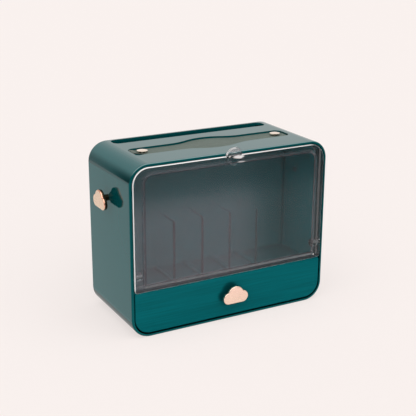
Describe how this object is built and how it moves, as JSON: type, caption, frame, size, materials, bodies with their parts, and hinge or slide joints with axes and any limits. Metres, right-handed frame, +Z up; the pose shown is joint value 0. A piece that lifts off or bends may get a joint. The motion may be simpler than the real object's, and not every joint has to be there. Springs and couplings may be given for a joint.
{
  "type": "cosmetic organizer box",
  "caption": "Rounded tabletop cosmetic box with a clear flip-down front lid, upright dividers, a lower drawer with a cloud knob, side hooks and a leather carry strap.",
  "frame": {"origin": "centre of the base, on the surface that the box stands on", "axes": "+X to the right seen from the front, +Y from the front to the back, +Z up"},
  "size_m": [0.3058, 0.1376, 0.2289],
  "materials": {
    "teal_gloss": "glossy moulded ABS, deep teal",
    "teal_inside": "satin moulded ABS, deep teal",
    "smoke_clear": "clear smoky moulded plastic, polished",
    "rose_gold": "satin rose-gold plating on zinc casting",
    "stud_gold": "polished pale gold plating",
    "strap_leather": "olive-grey smooth leather with fine grain",
    "steel": "zinc-plated steel"
  },
  "bodies": {
    "case": {"outer_shell": "teal_gloss", "back_panel": "teal_gloss", "back_panel_screws": "steel", "mid_shelf": "teal_inside", "inner_back_wall": "teal_inside", "left_hook": "rose_gold", "left_hook_screw": "steel", "right_hook": "rose_gold", "right_hook_screw": "steel", "left_strap_stud": "stud_gold", "right_strap_stud": "stud_gold", "left_strap_nut": "steel", "right_strap_nut": "steel"},
    "lid": {"flip_lid": "smoke_clear", "lid_pin_left": "steel", "lid_pin_right": "steel"},
    "drawer": {"drawer_front": "teal_gloss", "drawer_tray": "teal_inside", "drawer_front_screws": "steel", "drawer_knob": "rose_gold", "drawer_knob_screw": "steel"},
    "strap": {"carry_strap": "strap_leather"},
    "plate_1": {"divider_1": "smoke_clear"},
    "plate_2": {"divider_2": "smoke_clear"},
    "plate_3": {"divider_3": "smoke_clear"},
    "plate_4": {"divider_4": "smoke_clear"}
  },
  "joints": [
    {"name": "lid_swing", "type": "hinge", "parent": "case", "child": "lid", "pos_m": [0, -0.058, 0.08], "axis": [1, 0, 0], "range_deg": [0, 90]},
    {"name": "drawer_slide", "type": "slide", "parent": "case", "child": "drawer", "axis": [0, -1, 0], "range_m": [0, 0.09]},
    {"name": "strap_lift", "type": "slide", "parent": "case", "child": "strap", "axis": [0, 0, 1], "range_m": [0, 0.022], "deforming": ["carry_strap"]},
    {"name": "divider_lift_1", "type": "slide", "parent": "case", "child": "plate_1", "axis": [0, 0, 1], "range_m": [0, 0.065]},
    {"name": "divider_lift_2", "type": "slide", "parent": "case", "child": "plate_2", "axis": [0, 0, 1], "range_m": [0, 0.065]},
    {"name": "divider_lift_3", "type": "slide", "parent": "case", "child": "plate_3", "axis": [0, 0, 1], "range_m": [0, 0.065]},
    {"name": "divider_lift_4", "type": "slide", "parent": "case", "child": "plate_4", "axis": [0, 0, 1], "range_m": [0, 0.065]}
  ]
}
